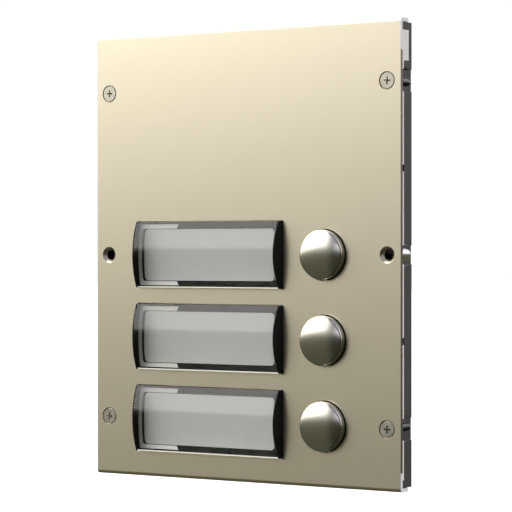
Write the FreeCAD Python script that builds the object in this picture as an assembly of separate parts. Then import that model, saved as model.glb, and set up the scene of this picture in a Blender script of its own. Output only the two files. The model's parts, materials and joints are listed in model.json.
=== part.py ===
import FreeCAD, Part
import math
import os

# Door intercom panel: a stainless front plate with three name windows and three
# bell buttons, screwed to a plastic housing that holds the circuit board.
# Millimetres. X runs to the right, Y into the wall, Z up.
# Depths below are counted from the plate's front face. Each piece is saved with the
# origin on the plate's rear face, midway between the two fixing holes.

V = FreeCAD.Vector

# ---- driving dimensions: front plate -------------------------------------------
plate_w = 99.0
plate_h = 124.0
sheet = 1.0            # sheet thickness
return_y = 4.1         # how far the folded top and bottom edges reach back
bend_outer = 1.0
bend_inner = 0.2
side_inset = 0.1       # the housing's sides sit this far inside the plate's

# ---- fasteners of the front -----------------------------------------------------
corner_screw_in = 4.15     # screw axis to the plate's side edge
corner_screw_down = 16.34  # screw axis to the plate's top or bottom edge
screw_head_r = 2.35
screw_core_r = 1.1
screw_length = 12.9
fixing_in = 4.1            # fixing hole axis to the plate's side edge
fixing_mouth_r = 2.25
fixing_bore_r = 1.35
bush_r = 1.7
bush_collar_r = 2.3
bush_end = 10.0

# ---- rows of windows and buttons ------------------------------------------------
row_count = 3
row_pitch = 22.85
first_row_z = 0.0
window_x = -11.125     # middle of the windows
window_w = 48.05
window_h = 18.3
lens_edge = 1.3        # how far the lens's long edges stand out
lens_bulge = 2.35      # how much further its crown stands out
lens_draft = 8.0       # degrees, end faces
lens_back = 1.1        # the solid lens's flat rear face
end_wall = 0.3         # frame's black walls at the lens's two ends
sill_h = 0.45          # white sill under the lens
sill_out = 1.15        # how far the sill stands out
card_border_x = 2.55   # card's edge to the window's ends
card_border_z = 2.6    # card's edge to the window's long edges
card_t = 0.3
card_corner = 1.0
clip_in = 0.6          # clip's outer edge to the window's left end
clip_border = 1.25     # clip's outer edge to the window's long edges
clip_w = 1.15
clip_arm = 13.7        # reach of the clip's two arms from the lens's left end
clip_inner_corner = 0.8

button_x = 25.98
button_r = 6.7
button_out = 2.75      # how far the button's crown stands out
button_dome_r = 25.0
button_round = 0.8
button_travel = 1.0
button_lip = 0.9       # how far the retaining lip stands out from the button
stem_r = 2.5

# ---- depth stack ----------------------------------------------------------------
carrier_t = 0.85       # white carrier plate behind the front plate
flange_t = 1.0         # flanges of window frames and button guides
flange_apart = 1.125   # half the space between the flanges of two rows
flange_seat = 0.775    # how far a flange rests on the housing's cross rib
frame_flange = 1.2     # window frame's flange past the window's ends
guide_flange = 10.5    # half width of a button guide's flange
guide_wall = 1.0
web_t = 2.2            # front wall of the housing's rail
rail_end = 5.95        # rear face of the rail, which rests on the mounting frame
guide_floor = 7.0
guide_end = 8.0
stem_end = 9.9
switch_front = 11.0
board_front = 14.4
board_t = 1.6
terminal_h = 6.4
cover_front = 23.0
cover_t = 1.5

# ---- housing --------------------------------------------------------------------
rail_wall = 1.6
lip_depth = 1.69       # locating lips above and below the carrier plate
carrier_down = 3.1     # carrier's top to the plate's top
box_in = 10.6          # rear box to the rail's side
box_down = 4.5         # rear box to the plate's top
box_wall = 1.5
board_gap = 0.5        # board to the box's walls
post_in = 4.0          # screw posts to the box's outside
cover_post_r = 2.9
board_post_r = 2.8
lug_h = 8.1
lug_depth = 4.45

# ---- clearances -----------------------------------------------------------------
fit = 0.05             # parts of one body that touch or slip together
run = 0.05             # stem in its guide, radial
gap = 0.3              # moving part to still part
seat_gap = 0.2         # loose fit of an opening round a piece

# ---- derived --------------------------------------------------------------------
half_w = plate_w / 2
half_h = plate_h / 2
side_x = half_w - side_inset
lip_front = sheet + fit
lip_end = lip_front + lip_depth
rail_top = half_h - sheet - 2 * fit      # the rail and its lips stop under the plate's fold
carrier_top = half_h - carrier_down
carrier_end = sheet + carrier_t
flange_end = carrier_end + flange_t
web_end = carrier_end + web_t
board_end = board_front + board_t
cover_end = cover_front + cover_t
rows = [first_row_z - i * row_pitch for i in range(row_count)]
corner_x = half_w - corner_screw_in
corner_z = half_h - corner_screw_down
fixing_x = half_w - fixing_in
lens_r = ((window_h / 2) ** 2 + lens_bulge ** 2) / (2 * lens_bulge)
lens_axis_y = lens_r - lens_edge - lens_bulge
window_half = window_w / 2
sill_top = sill_h - window_h / 2
sill_half = window_half - end_wall - 0.3
button_hole_r = button_r + gap
button_lip_r = button_r + button_lip
box_x = side_x - box_in
box_top = half_h - box_down
inner_w = box_x - box_wall
inner_h = box_top - box_wall
flange_h = row_pitch - 2 * flange_apart
notch_half = 2.9       # half height of the side notch at a corner screw
mid_notch_half = 2.5   # the same at a fixing hole


# ---- small helpers --------------------------------------------------------------
def block(x0, x1, y0, y1, z0, z1):
    return Part.makeBox(x1 - x0, y1 - y0, z1 - z0, V(x0, y0, z0))


def rod(x, z, y0, y1, r):
    return Part.makeCylinder(r, y1 - y0, V(x, y0, z), V(0, 1, 0))


def cone(x, z, y0, y1, r0, r1):
    return Part.makeCone(r0, r1, y1 - y0, V(x, y0, z), V(0, 1, 0))


def prism_xy(points, z0, z1):
    wire = Part.makePolygon([V(x, y, z0) for x, y in points + points[:1]])
    return Part.Face(wire).extrude(V(0, 0, z1 - z0))


def prism_yz(points, x0, x1):
    wire = Part.makePolygon([V(x0, y, z) for y, z in points + points[:1]])
    return Part.Face(wire).extrude(V(x1 - x0, 0, 0))


def rectangle(y, half_x, half_z, x=0.0, z=0.0):
    corners = [(-1, -1), (1, -1), (1, 1), (-1, 1), (-1, -1)]
    return Part.makePolygon([V(x + i * half_x, y, z + k * half_z) for i, k in corners])


def taper(y0, x0, z0, y1, x1, z1, x=0.0, z=0.0):
    """Block between two rectangles given by their half sizes at y0 and y1."""
    ends = [rectangle(y0, x0, z0, x, z), rectangle(y1, x1, z1, x, z)]
    return Part.makeLoft(ends, True, True)


def fused(shapes):
    return shapes[0].multiFuse(shapes[1:]).removeSplitter()


def mirrored(shape):
    return shape.mirror(V(0, 0, 0), V(1, 0, 0))


def both_sides(shape):
    return [shape, mirrored(shape)]


def corners(x, z):
    return [(i * x, k * z) for i in (-1, 1) for k in (-1, 1)]


def save(name, shape):
    shape.translate(V(0, -sheet, 0))
    shape.exportStep("parts/" + name + ".step")
    print(name, "solids", len(shape.Solids), "volume", round(shape.Volume, 2), shape.isValid())


# ---- front plate ----------------------------------------------------------------
def plate_profile():
    """Section of the folded sheet in the YZ plane, as one closed wire."""
    top = half_h
    inner = half_h - sheet
    turn = math.sqrt(0.5)

    def corner(sign):
        centre_z = sign * (top - bend_outer)
        mid = V(0, bend_outer * (1 - turn), centre_z + sign * bend_outer * turn)
        return Part.Arc(V(0, bend_outer, sign * top), mid, V(0, 0, centre_z))

    def inside(sign):
        centre_z = sign * (inner - bend_inner)
        mid = V(0, sheet + bend_inner * (1 - turn), centre_z + sign * bend_inner * turn)
        return Part.Arc(V(0, sheet, centre_z), mid, V(0, sheet + bend_inner, sign * inner))

    def line(y0, z0, y1, z1):
        return Part.LineSegment(V(0, y0, z0), V(0, y1, z1))

    parts = [
        line(return_y, top, bend_outer, top),
        corner(1),
        line(0, top - bend_outer, 0, bend_outer - top),
        corner(-1),
        line(bend_outer, -top, return_y, -top),
        line(return_y, -top, return_y, -inner),
        inside(-1),
        line(return_y, -inner, sheet + bend_inner, -inner),
        line(sheet, bend_inner - inner, sheet, inner - bend_inner),
        inside(1),
        line(sheet + bend_inner, inner, return_y, inner),
        line(return_y, inner, return_y, top),
    ]
    edges = Part.sortEdges([p.toShape() for p in parts])[0]
    return Part.Wire(edges)


def front_plate():
    body = Part.Face(plate_profile()).extrude(V(plate_w, 0, 0))
    body.translate(V(-half_w, 0, 0))
    bevel = 0.2
    over = 1.0
    cuts = []
    for z in rows:
        hx = window_half + fit
        hz = window_h / 2 + fit
        cuts.append(block(window_x - hx, window_x + hx, -over, sheet + over, z - hz, z + hz))
        cuts.append(taper(-over, hx + bevel + over, hz + bevel + over, bevel, hx, hz, window_x, z))
        cuts.append(rod(button_x, z, -over, sheet + over, button_hole_r))
    for x, z in corners(corner_x, corner_z):
        cuts.append(countersink(x, z, screw_head_r, screw_core_r + seat_gap))
    for x in (-fixing_x, fixing_x):
        cuts.append(countersink(x, 0, fixing_mouth_r, fixing_bore_r))
    return body.cut(Part.makeCompound(cuts))


def countersink(x, z, mouth_r, bore_r):
    """90 degree countersink with a bore behind it, as a cutting body."""
    over = 1.0
    return fused([
        cone(x, z, 0, mouth_r - bore_r, mouth_r, bore_r),
        rod(x, z, -over, 0, mouth_r),
        rod(x, z, 0, sheet + over, bore_r),
    ])


def corner_screws():
    """Countersunk self-tapping screws with a cross recess, one solid for each corner."""
    slack = 0.02
    head_end = screw_head_r - screw_core_r
    point = 2.6
    recess_l, recess_w, recess_d = 2.4, 0.5, 0.7
    screws = []
    for x, z in corners(corner_x, corner_z):
        body = fused([
            cone(x, z, slack, head_end, screw_head_r - 2 * slack, screw_core_r),
            rod(x, z, head_end, screw_length - point, screw_core_r),
            cone(x, z, screw_length - point, screw_length, screw_core_r, 0.15),
        ])
        for a, b in ((recess_l, recess_w), (recess_w, recess_l)):
            body = body.cut(block(x - a / 2, x + a / 2, 0, recess_d, z - b / 2, z + b / 2))
        screws.append(body)
    return Part.makeCompound(screws)


def fixing_bushes():
    """Nickel-plated bushes behind the two fixing holes."""
    nose = 1.4
    bushes = []
    for x in (-fixing_x, fixing_x):
        outer = fused([
            rod(x, 0, sheet, carrier_end, bush_collar_r),
            rod(x, 0, carrier_end, bush_end - nose, bush_r),
            cone(x, 0, bush_end - nose, bush_end, bush_r, bush_r - 0.2),
        ])
        bushes.append(outer.cut(rod(x, 0, sheet - 1, bush_end + 1, fixing_bore_r)))
    return Part.makeCompound(bushes)


# ---- name windows ---------------------------------------------------------------
card_front = lens_back + fit + 0.02
card_back = card_front + card_t
recess_end = card_back + fit
card_left = window_x - window_half + card_border_x
card_right = window_x + window_half - card_border_x
card_top = window_h / 2 - card_border_z
clip_left = window_x - window_half + clip_in
clip_top = window_h / 2 - clip_border
light_left = card_left + 0.6
light_right = card_right - 1.0
light_half = card_top - 0.5


def window_form(end_in, y_back):
    """The window's outer form, its end faces moved inwards by end_in: a bar with an arched front."""
    lean = math.tan(math.radians(lens_draft))
    reach = 5.0
    hx = window_half - end_in
    hz = window_h / 2
    bar = Part.makeCylinder(lens_r, window_w + 2, V(window_x - window_half - 1, lens_axis_y, 0),
                            V(1, 0, 0))
    bar = bar.common(block(window_x - window_half - 1, window_x + window_half + 1,
                           lens_axis_y - lens_r - 1, y_back, -hz, hz))
    ends = fused([
        block(window_x - hx, window_x + hx, 0, y_back, -hz, hz),
        taper(-reach, hx - reach * lean, hz, 0, hx, hz, window_x),
    ])
    return bar.common(ends)


def sill(grow):
    """White lip of the carrier plate under a lens, with its root behind the front plate."""
    front = block(window_x - sill_half - grow, window_x + sill_half + grow,
                  -sill_out - grow, carrier_end + grow, -window_h / 2, sill_top + grow)
    root = block(window_x - sill_half - grow, window_x + sill_half + grow, sheet + fit - grow,
                 carrier_end + grow, -window_h / 2 - seat_gap - 0.1, sill_top + grow)
    return fused([front, root])


def window_lens():
    return window_form(end_wall + fit, lens_back).cut(sill(fit))


def rounded_block(x0, x1, y0, y1, z0, z1, r):
    """Block whose four edges along Y are rounded."""
    body = block(x0, x1, y0, y1, z0, z1)
    upright = [e for e in body.Edges if abs(e.tangentAt(e.FirstParameter).y) > 0.99]
    return body.makeFillet(r, upright)


def card_outline(grow, y0, y1):
    top = card_top + grow
    return rounded_block(card_left - grow, card_right + grow, y0, y1, -top, top,
                         card_corner + grow)


def clip_outline(grow, y0, y1):
    """Bracket with two arms whose ends are cut at a slant and whose inner corners are round."""
    slant = 0.4
    left = clip_left - grow
    top = clip_top + grow
    inner_x = clip_left + clip_w + grow
    inner_z = clip_top - clip_w - grow
    end = window_x - window_half + clip_arm + grow
    tips = [
        (left, top), (end, top), (end - slant, inner_z), (inner_x, inner_z),
        (inner_x, -inner_z), (end - slant, -inner_z), (end, -top), (left, -top),
    ]
    wire = Part.makePolygon([V(x, y0, z) for x, z in tips + tips[:1]])
    body = Part.Face(wire).extrude(V(0, y1 - y0, 0))
    inner = [e for e in body.Edges
             if abs(e.CenterOfMass.x - inner_x) < 1e-4 and abs(abs(e.CenterOfMass.z) - inner_z) < 1e-4]
    return body.makeFillet(clip_inner_corner - grow, inner)


def name_card():
    return card_outline(0, card_front, card_back)


def card_clip():
    return clip_outline(0, card_front, card_back)


def window_frame():
    """Black frame behind the lens, with end walls that rise beside it."""
    over = 1.0
    hx = window_half
    hz = window_h / 2
    flange_x = window_half + frame_flange
    walls = window_form(0, flange_end).cut(window_form(end_wall, flange_end))
    core = block(window_x - hx, window_x + hx, lens_back + fit, flange_end, -hz, hz)
    flange = block(window_x - flange_x, window_x + flange_x,
                   carrier_end, flange_end, -flange_h / 2, flange_h / 2)
    body = fused([walls, core, flange])
    light = block(light_left, light_right, 0, flange_end + over, -light_half, light_half)
    cuts = [card_outline(fit, 0, recess_end), clip_outline(fit, 0, recess_end), light, sill(fit)]
    for cut in cuts:
        body = body.cut(cut)
    return body


def light_diffuser():
    return block(light_left + fit, light_right - fit, recess_end + 0.02, flange_end,
                 fit - light_half, light_half - fit)


# ---- bell buttons ---------------------------------------------------------------
lip_front_y = sheet + 0.8
lip_end_y = lip_front_y + 0.8
cap_wall = 1.1
cap_hollow_r = button_r - cap_wall
cap_floor = -0.3
disc_end = 1.2


def button_cap():
    body = rod(button_x, 0, -button_out - 1, lip_front_y, button_r)
    ball = Part.makeSphere(button_dome_r, V(button_x, button_dome_r - button_out, 0))
    body = body.common(ball)
    rim = [e for e in body.Edges
           if isinstance(e.Curve, Part.Circle) and abs(e.Curve.Radius - button_r) < 1e-4
           and e.CenterOfMass.y < 0]
    body = body.makeFillet(button_round, rim)
    body = fused([body, rod(button_x, 0, lip_front_y, lip_end_y, button_lip_r)])
    return body.cut(rod(button_x, 0, cap_floor, lip_end_y + 1, cap_hollow_r))


def button_seal():
    ring = rod(button_x, 0, sheet, lip_front_y, button_lip_r + gap)
    return ring.cut(rod(button_x, 0, 0, lip_end_y, button_hole_r + fit))


clip_front = guide_end + fit
clip_t = 0.6
groove_r = 1.9


def button_stem():
    disc = rod(button_x, 0, cap_floor, disc_end, cap_hollow_r - fit)
    shaft = rod(button_x, 0, disc_end, stem_end, stem_r)
    body = fused([disc, shaft])
    groove = rod(button_x, 0, clip_front - 0.02, clip_front + clip_t + 0.02, stem_r + 1)
    return body.cut(groove.cut(rod(button_x, 0, 0, stem_end, groove_r)))


def button_clip():
    """Open spring-steel ring in the stem's groove."""
    outer_r = stem_r + 1.1
    ring = rod(button_x, 0, clip_front, clip_front + clip_t, outer_r)
    ring = ring.cut(rod(button_x, 0, 0, stem_end, groove_r + 0.02))
    mouth = 1.4
    return ring.cut(block(button_x - mouth, button_x + mouth, 0, stem_end, -2 * outer_r, 0))


lip_room_r = button_lip_r + gap
lip_room = lip_end_y + button_travel + gap
barrel_r = lip_room_r + guide_wall
barrel_end = lip_room + guide_wall


def guide_room(z):
    """Space that a button guide's barrel needs in the housing."""
    return rod(button_x, z, 0, barrel_end + seat_gap, barrel_r + seat_gap)


def button_guide():
    spring_room = 5.2
    flange = block(button_x - guide_flange, button_x + guide_flange, carrier_end, flange_end,
                   -flange_h / 2, flange_h / 2)
    body = fused([
        flange,
        rod(button_x, 0, flange_end, barrel_end, barrel_r),
        rod(button_x, 0, lip_room, guide_end, spring_room + guide_wall),
    ])
    bore = fused([
        rod(button_x, 0, 0, lip_room, lip_room_r),
        rod(button_x, 0, lip_room - 1, guide_floor, spring_room),
        rod(button_x, 0, guide_floor - 1, guide_end + 1, stem_r + run),
    ])
    return body.cut(bore)


def button_spring():
    """Coil of half turns, each a half torus tilted so that it meets the next without a kink."""
    wire_r = 0.25
    coil_r = 3.9
    half_turns = 9
    start = disc_end + wire_r + fit
    rise = (guide_floor - wire_r - fit - start) / half_turns
    pieces = []
    for k in range(half_turns):
        side = 1 if k % 2 == 0 else -1
        section = Part.Face(Part.Wire(
            Part.makeCircle(wire_r, V(side * coil_r, 0, k * rise), V(0, 1, 0))))
        middle = V(0, 0, (k + 0.5) * rise)
        pieces.append(section.revolve(middle, V(side * rise, 0, 2 * coil_r), 180))
    coil = pieces[0].multiFuse(pieces[1:])
    coil.rotate(V(0, 0, 0), V(1, 0, 0), -90)
    coil.translate(V(button_x, start, 0))
    return coil


# ---- switches, board and what it carries ------------------------------------------
plunger_r = 1.75


def tact_switch():
    half = 3.1
    body = block(button_x - half, button_x + half, switch_front, board_front, -half, half)
    return body.cut(rod(button_x, 0, switch_front - 1, switch_front + 2.2, plunger_r + run))


def switch_plunger():
    return rod(button_x, 0, stem_end, switch_front + 1.0, plunger_r)


post_x = box_x - post_in
cover_post_z = box_top - post_in
board_top = cover_post_z - cover_post_r - board_gap
board_x = inner_w - board_gap
board_post_top = board_top - post_in
board_post_low = rows[-1] + row_pitch / 2
board_posts = [(i * post_x, z) for i in (-1, 1) for z in (board_post_top, board_post_low)]
cover_posts = corners(post_x, cover_post_z)


def circuit_board():
    board = block(-board_x, board_x, board_front, board_end, -board_top, board_top)
    holes = [rod(x, z, board_front - 1, board_end + 1, 1.4) for x, z in board_posts]
    return board.cut(Part.makeCompound(holes))


def backlight_leds():
    half_x, half_z, height, reach = 1.75, 1.4, 1.8, 12.0
    leds = []
    for z in rows:
        for x in (window_x - reach, window_x + reach):
            leds.append(block(x - half_x, x + half_x, board_front - height, board_front,
                              z - half_z, z + half_z))
    return Part.makeCompound(leds)


def controller_chip():
    half, height, z = 4.0, 1.2, 6.0
    return block(-half, half, board_end, board_end + height, z - half, z + half)


pole_count = 6
pole_pitch = 5.08
terminal_z0 = -19.0
terminal_z1 = -9.0
pole_x = [(i - (pole_count - 1) / 2) * pole_pitch for i in range(pole_count)]
terminal_end = board_end + terminal_h
terminal_screw_z = -14.0


def terminal_block():
    half = pole_count * pole_pitch / 2
    body = block(-half, half, board_end, terminal_end, terminal_z0, terminal_z1)
    wells = [rod(x, terminal_screw_z, terminal_end - 2, terminal_end + 1, 1.7) for x in pole_x]
    mouths = [Part.makeCylinder(1.2, 4.0, V(x, board_end + 2.2, terminal_z0), V(0, 0, 1))
              for x in pole_x]
    return body.cut(Part.makeCompound(wells + mouths))


def terminal_screws():
    r, height, slot, slot_d = 1.6, 1.5, 0.5, 0.7
    screws = []
    for x in pole_x:
        y0 = terminal_end - 2
        body = rod(x, terminal_screw_z, y0, y0 + height, r)
        screws.append(body.cut(block(x - slot / 2, x + slot / 2, y0 + height - slot_d,
                                     y0 + height, terminal_screw_z - r, terminal_screw_z + r)))
    return Part.makeCompound(screws)


link_z = 28.0
link_base = 2.5
pin_rows = 2
pin_columns = 6
pin_pitch = 2.54


def link_header():
    half_x = pin_columns * pin_pitch / 2
    half_z = pin_rows * pin_pitch / 2
    return block(-half_x, half_x, board_end, board_end + link_base,
                 link_z - half_z, link_z + half_z)


def header_pins():
    half, length = 0.32, 4.0
    y0 = board_end + link_base
    pins = []
    for i in range(pin_columns):
        for k in range(pin_rows):
            x = (i - (pin_columns - 1) / 2) * pin_pitch
            z = link_z + (k - (pin_rows - 1) / 2) * pin_pitch
            pins.append(block(x - half, x + half, y0, y0 + length, z - half, z + half))
    return Part.makeCompound(pins)


def pan_screws(places, seat, shank_l, head_r, head_h, shank_r):
    """Pan-head screws driven from the rear, heads on the plane y = seat."""
    slot = 0.6
    screws = []
    for x, z in places:
        body = fused([rod(x, z, seat, seat + head_h, head_r),
                      rod(x, z, seat - shank_l, seat, shank_r)])
        for a, b in ((head_r, slot), (slot, head_r)):
            body = body.cut(block(x - a / 2, x + a / 2, seat + head_h / 2, seat + head_h,
                                  z - b / 2, z + b / 2))
        screws.append(body)
    return Part.makeCompound(screws)


board_screw_l = 7.0
cover_screw_l = 8.0
post_screw_r = 1.2


def board_screws():
    return pan_screws(board_posts, board_end, board_screw_l, 2.1, 1.5, post_screw_r)


def cover_screws():
    return pan_screws(cover_posts, cover_end, cover_screw_l, 2.2, 1.5, post_screw_r)


# ---- carrier plate, housing and rear cover ------------------------------------------
lug_high = carrier_top
lug_low = lug_high - lug_h


def carrier_plate():
    over = 1.0
    body = block(-side_x, side_x, sheet, carrier_end, -carrier_top, carrier_top)
    lug = block(side_x - rail_wall, side_x, sheet, lug_depth - fit, lug_low + fit, lug_high - fit)
    body = fused([body] + both_sides(lug))
    cuts = []
    for z in rows:
        hx = window_half + seat_gap
        hz = window_h / 2 + seat_gap
        cuts.append(block(window_x - hx, window_x + hx, 0, carrier_end + over, z - hz, z + hz))
        cuts.append(rod(button_x, z, 0, carrier_end + over, button_lip_r + gap + seat_gap))
    inner_x = fixing_x - bush_collar_r - seat_gap
    slot_half = 0.93
    slot_depth = 2.0
    slot_z = 22.65
    for z, half in ((corner_z, notch_half), (-corner_z, notch_half), (0, mid_notch_half)):
        cuts += both_sides(block(inner_x, half_w + over, 0, carrier_end + over, z - half, z + half))
    for z in (slot_z, -slot_z):
        cuts += both_sides(block(side_x - slot_depth, half_w + over, 0, carrier_end + over,
                                 z - slot_half, z + slot_half))
    body = body.cut(Part.makeCompound(cuts))
    sills = [sill(0) for z in rows]
    for shape, z in zip(sills, rows):
        shape.translate(V(0, 0, z))
    return fused([body] + sills)


def side_notch(z, half):
    """Notch in the rail's side wall with a slanting bottom and bevelled ends."""
    over = 1.0
    deep = fixing_x + 1.4
    shallow = deep + 1.8
    bevel = 0.6
    bevel_end = 4.4
    main = prism_xy([(shallow, carrier_end - over), (half_w + over, carrier_end - over),
                     (half_w + over, rail_end + over), (deep, rail_end + over), (deep, rail_end),
                     (shallow, carrier_end)], z - half, z + half)
    ends = [
        prism_yz([(carrier_end - 0.01, z + k * half), (carrier_end - 0.01, z + k * (half + bevel)),
                  (bevel_end, z + k * half)], side_x - rail_wall, half_w + over)
        for k in (-1, 1)
    ]
    return [main] + ends


def housing_frame():
    """Rail behind the plate's edge, with a front wall, bosses and cross ribs."""
    over = 1.0
    top = rail_top
    rim = block(-side_x, side_x, carrier_end, rail_end, -top, top).cut(
        block(rail_wall - side_x, side_x - rail_wall, carrier_end - over, rail_end + over,
              rail_wall - top, top - rail_wall))
    web = block(-side_x, side_x, carrier_end, web_end, -top, top)
    lip_low = carrier_top + seat_gap
    lips = [block(-side_x, side_x, lip_front, lip_end, low, high)
            for low, high in ((lip_low, rail_top), (-rail_top, -lip_low))]
    bosses = [rod(x, z, carrier_end, rail_end, screw_core_r + 1.5)
              for x, z in corners(corner_x, corner_z)]
    bosses += [rod(x, 0, carrier_end, rail_end, bush_r + 1.5) for x in (-fixing_x, fixing_x)]
    body = fused([rim, web] + lips + bosses)
    body = body.cut(block(-inner_w, inner_w, 0, web_end + over, -inner_h, inner_h))

    rib_half = flange_apart + flange_seat
    ribs = [block(-inner_w, inner_w, carrier_end, web_end,
                  z - row_pitch / 2 - rib_half, z - row_pitch / 2 + rib_half)
            for z in [rows[0] + row_pitch] + rows]
    body = fused([body] + ribs)

    pocket_x = box_x - 0.4
    pocket_top = rows[0] + flange_h / 2 + seat_gap
    pocket_low = rows[-1] - flange_h / 2 - seat_gap
    cuts = [block(-pocket_x, pocket_x, 0, flange_end, pocket_low, pocket_top)]
    cuts += [guide_room(z) for z in rows]
    for x, z in corners(corner_x, corner_z):
        cuts.append(rod(x, z, 0, rail_end + over, screw_core_r + 0.15))
    for x in (-fixing_x, fixing_x):
        cuts.append(rod(x, 0, 0, rail_end + over, bush_r + 0.02))
    cuts += both_sides(block(side_x - rail_wall - fit, half_w + over, 0, lug_depth,
                             lug_low, lug_high))
    for z, half in ((corner_z, notch_half), (-corner_z, notch_half), (0, mid_notch_half)):
        for piece in side_notch(z, half):
            cuts += both_sides(piece)
    return body.cut(Part.makeCompound(cuts))


def rear_box():
    """Four walls behind the frame, with posts for the board and for the cover."""
    over = 1.0
    body = block(-box_x, box_x, web_end, cover_front, -box_top, box_top).cut(
        block(-inner_w, inner_w, web_end - over, cover_front + over, -inner_h, inner_h))
    posts = [rod(x, z, web_end, board_front, board_post_r) for x, z in board_posts]
    posts += [rod(x, z, web_end, cover_front, cover_post_r) for x, z in cover_posts]
    body = fused([body] + posts)
    cuts = [rod(x, z, board_front - board_screw_l, board_front + over, post_screw_r + fit)
            for x, z in board_posts]
    cuts += [rod(x, z, cover_front - cover_screw_l, cover_front + over, post_screw_r + fit)
             for x, z in cover_posts]
    cuts += [guide_room(z) for z in rows]
    return body.cut(Part.makeCompound(cuts))


def rear_cover():
    over = 1.0
    plate = block(-box_x, box_x, cover_front, cover_end, -box_top, box_top)
    wires = block(-17.0, 17.0, cover_front - over, cover_end + over, terminal_z0 - 12, terminal_z1 + 2)
    link = block(-11.0, 11.0, cover_front - over, cover_end + over, link_z - 5, link_z + 5)
    holes = [rod(x, z, cover_front - over, cover_end + over, post_screw_r + seat_gap)
             for x, z in cover_posts]
    return plate.cut(Part.makeCompound([wires, link] + holes))


# ---- build ------------------------------------------------------------------------
def main():
    os.makedirs("parts", exist_ok=True)
    singles = {
        "front_plate": front_plate,
        "corner_screws": corner_screws,
        "fixing_bushes": fixing_bushes,
        "carrier_plate": carrier_plate,
        "housing_frame": housing_frame,
        "rear_box": rear_box,
        "rear_cover": rear_cover,
        "cover_screws": cover_screws,
        "circuit_board": circuit_board,
        "board_screws": board_screws,
        "backlight_leds": backlight_leds,
        "controller_chip": controller_chip,
        "terminal_block": terminal_block,
        "terminal_screws": terminal_screws,
        "link_header": link_header,
        "header_pins": header_pins,
    }
    for name, make in singles.items():
        save(name, make())

    per_row = {
        "window_frame": window_frame,
        "window_lens": window_lens,
        "name_card": name_card,
        "card_clip": card_clip,
        "light_diffuser": light_diffuser,
        "button_cap": button_cap,
        "button_stem": button_stem,
        "button_clip": button_clip,
        "button_seal": button_seal,
        "button_guide": button_guide,
        "button_spring": button_spring,
        "switch_body": tact_switch,
        "switch_plunger": switch_plunger,
    }
    for name, make in per_row.items():
        shape = make()
        for number, z in enumerate(rows, start=1):
            copy = shape.copy()
            copy.translate(V(0, 0, z))
            save(f"{name}_{number}", copy)


main()
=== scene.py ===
# %% [markdown]
# # A door intercom panel, dressed around its CAD frame
# The panel is a folded stainless plate with three lit name windows and three sprung bell
# buttons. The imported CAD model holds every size, place and joint. This script keeps it as a
# fixed frame, gives each part a finish, and swaps plain parts for detailed ones of the same size.

# %% Load the frame
import json
import math

import bmesh
import bpy
from mathutils import Matrix, Vector


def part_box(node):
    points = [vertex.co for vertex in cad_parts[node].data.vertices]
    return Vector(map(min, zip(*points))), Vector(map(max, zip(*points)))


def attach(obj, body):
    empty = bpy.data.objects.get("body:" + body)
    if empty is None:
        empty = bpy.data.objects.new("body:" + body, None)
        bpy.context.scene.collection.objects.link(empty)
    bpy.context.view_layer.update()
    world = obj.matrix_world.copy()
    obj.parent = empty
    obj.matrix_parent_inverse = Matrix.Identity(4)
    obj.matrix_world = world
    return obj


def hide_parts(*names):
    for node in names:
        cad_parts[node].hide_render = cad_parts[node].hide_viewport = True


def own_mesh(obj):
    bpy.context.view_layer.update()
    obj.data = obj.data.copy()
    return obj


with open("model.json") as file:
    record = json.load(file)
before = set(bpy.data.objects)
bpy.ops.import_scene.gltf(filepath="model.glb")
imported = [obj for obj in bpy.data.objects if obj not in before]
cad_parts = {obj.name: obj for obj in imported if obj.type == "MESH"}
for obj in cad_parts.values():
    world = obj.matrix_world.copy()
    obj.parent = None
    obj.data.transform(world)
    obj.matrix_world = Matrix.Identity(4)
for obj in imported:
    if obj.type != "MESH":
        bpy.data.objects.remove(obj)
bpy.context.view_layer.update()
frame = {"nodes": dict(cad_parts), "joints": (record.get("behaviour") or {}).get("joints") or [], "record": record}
nodes = frame["nodes"]
rows = (1, 2, 3)
mm = 0.001
print("frame loaded:", len(nodes), "CAD nodes")

# %% [markdown]
# ## Measures
# Every place below comes from the boxes of the CAD nodes. A node's middle gives an axis, and
# its lowest and highest corners give faces that the detailed parts have to meet.

# %% Read places from the frame


def middle(name):
    """Centre of a CAD node's box."""
    low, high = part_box(name)
    return (low + high) / 2


def size_of(name):
    """Lengths of a CAD node's box along X, Y and Z."""
    low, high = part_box(name)
    return high - low


plate_low, plate_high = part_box("front_plate")
face_y = plate_low.y
plate_half_w = plate_high.x
plate_half_h = plate_high.z
row_pitch = middle("button_cap_1").z - middle("button_cap_2").z
button_x = middle("button_cap_1").x
fixing_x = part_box("fixing_bushes")[1].x - 2.3 * mm    # the collar's radius in from its edge
corner_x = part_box("corner_screws")[1].x - 2.35 * mm   # the screw head's radius in from its edge
corner_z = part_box("corner_screws")[1].z - 2.35 * mm
edge_highlight_up = plate_half_h - 8.4 * mm                     # painted highlight on the side edges above this height
edge_highlight_down = plate_half_h - 5.0 * mm                   # and below this depth
print("plate face at", round(face_y / mm, 2), "mm, row pitch", round(row_pitch / mm, 2), "mm")

# %% [markdown]
# ## Camera
# The panel is seen from its right, level with its middle, through a long lens. The camera is
# set first, because everything else is judged through it.

# %% Place the camera
view_azimuth = math.radians(33.3)
camera_distance = 613.5 * mm
camera_slide = 3.67 * mm     # the panel's middle stands this far left of the lens axis
focal_length = 158.3
lens_drop = -0.00225

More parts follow.
